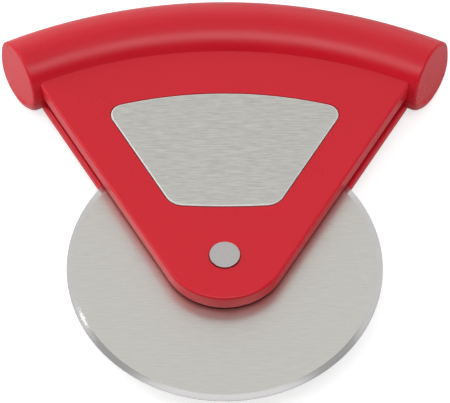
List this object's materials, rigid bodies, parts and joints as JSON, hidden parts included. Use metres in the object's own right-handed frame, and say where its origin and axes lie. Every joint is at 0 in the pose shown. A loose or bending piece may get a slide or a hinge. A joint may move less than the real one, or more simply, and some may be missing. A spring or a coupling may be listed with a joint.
{
  "type": "wheel cutter",
  "caption": "Slice-shaped wheel cutter: a steel cutting wheel turns between two plates of a wedge-shaped body whose curved round handle is held like a crust.",
  "frame": {"origin": "middle of the outline, at the lowest point of the handle", "axes": "+Z out of the front plate along the axle, +Y from the wheel to the handle, +X to the right seen from the front"},
  "size_m": [0.1448, 0.1506, 0.0241],
  "materials": {
    "red_shell": "satin moulded red",
    "inlay_steel": "fine straight brush marks",
    "blade_steel": "fine straight brush marks",
    "axle_steel": "turned, satin",
    "fastener_steel": "plain",
    "acetal": "natural",
    "tape": "matt foam"
  },
  "bodies": {
    "fork": {"front_shell": "red_shell", "rear_shell": "red_shell", "inlay_plate": "inlay_steel", "inlay_tape": "tape", "shell_screws": "fastener_steel", "handle_pins": "fastener_steel", "axle_rivet": "axle_steel", "axle_barrel": "axle_steel", "front_washer": "acetal", "rear_washer": "acetal"},
    "wheel": {"wheel_bush": "acetal", "cutting_wheel": "blade_steel"}
  },
  "joints": [
    {"name": "wheel_spin", "type": "hinge", "parent": "fork", "child": "wheel", "pos_m": [0, -0.02527, 0.01205], "axis": [0, 0, 1], "continuous": true}
  ]
}
